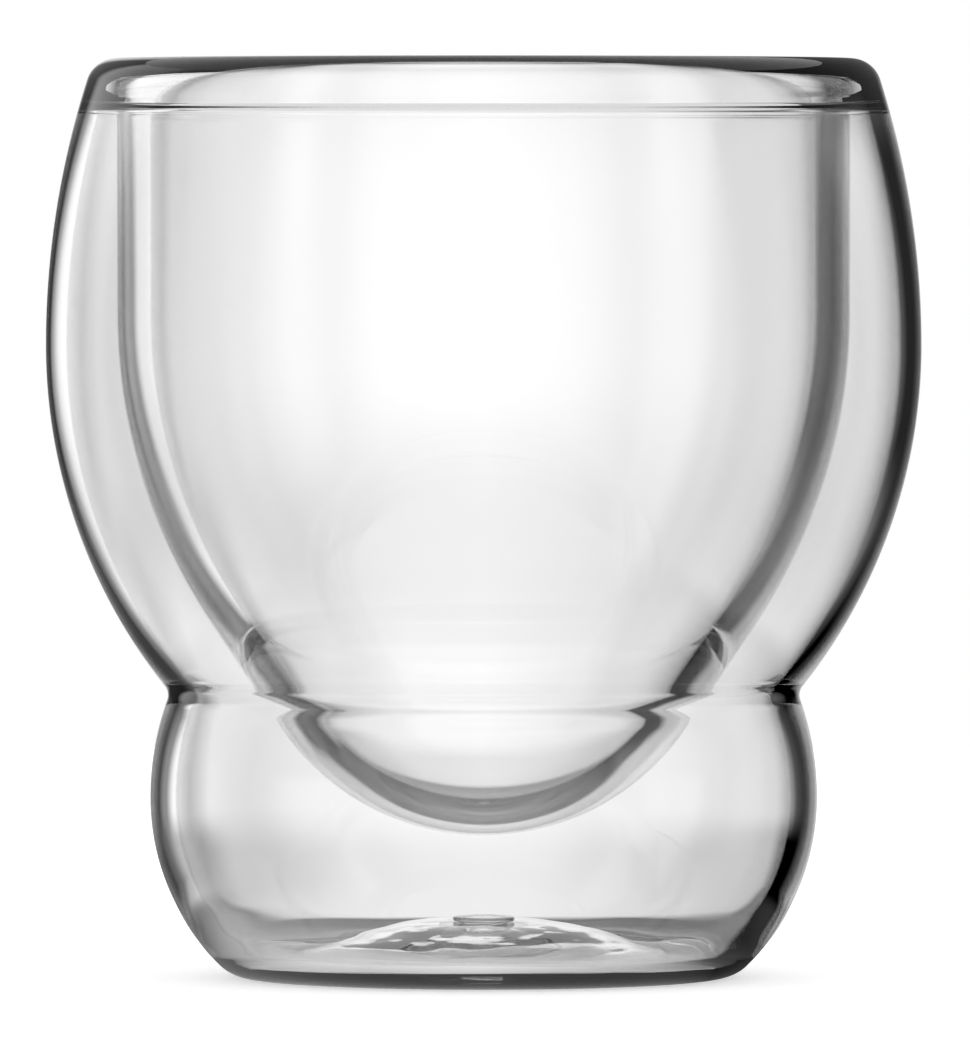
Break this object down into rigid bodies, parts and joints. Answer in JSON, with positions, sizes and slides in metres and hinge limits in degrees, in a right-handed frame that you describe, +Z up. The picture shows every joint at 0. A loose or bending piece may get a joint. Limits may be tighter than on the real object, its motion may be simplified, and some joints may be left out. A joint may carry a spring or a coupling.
{
  "type": "double walled glass cup",
  "caption": "Clear double walled drinking cup with a round belly, a tight waist and a small round lower bulb, its bowl hung from the fused rim.",
  "frame": {"origin": "middle of the standing ring, on the table plane", "axes": "+Z up along the cup's axis, towards the rim; the cup is round, so X and Y are free"},
  "size_m": [0.0934, 0.0934, 0.098],
  "materials": {
    "outer_glass": "clear polished borosilicate glass",
    "inner_glass": "clear polished borosilicate glass",
    "rim_glass": "clear flame-polished borosilicate glass",
    "silicone": "milky clear satin silicone"
  },
  "bodies": {
    "root": {"outer_wall": "outer_glass", "inner_bowl": "inner_glass", "rim_weld": "rim_glass", "vent_plug": "silicone"}
  },
  "joints": []
}
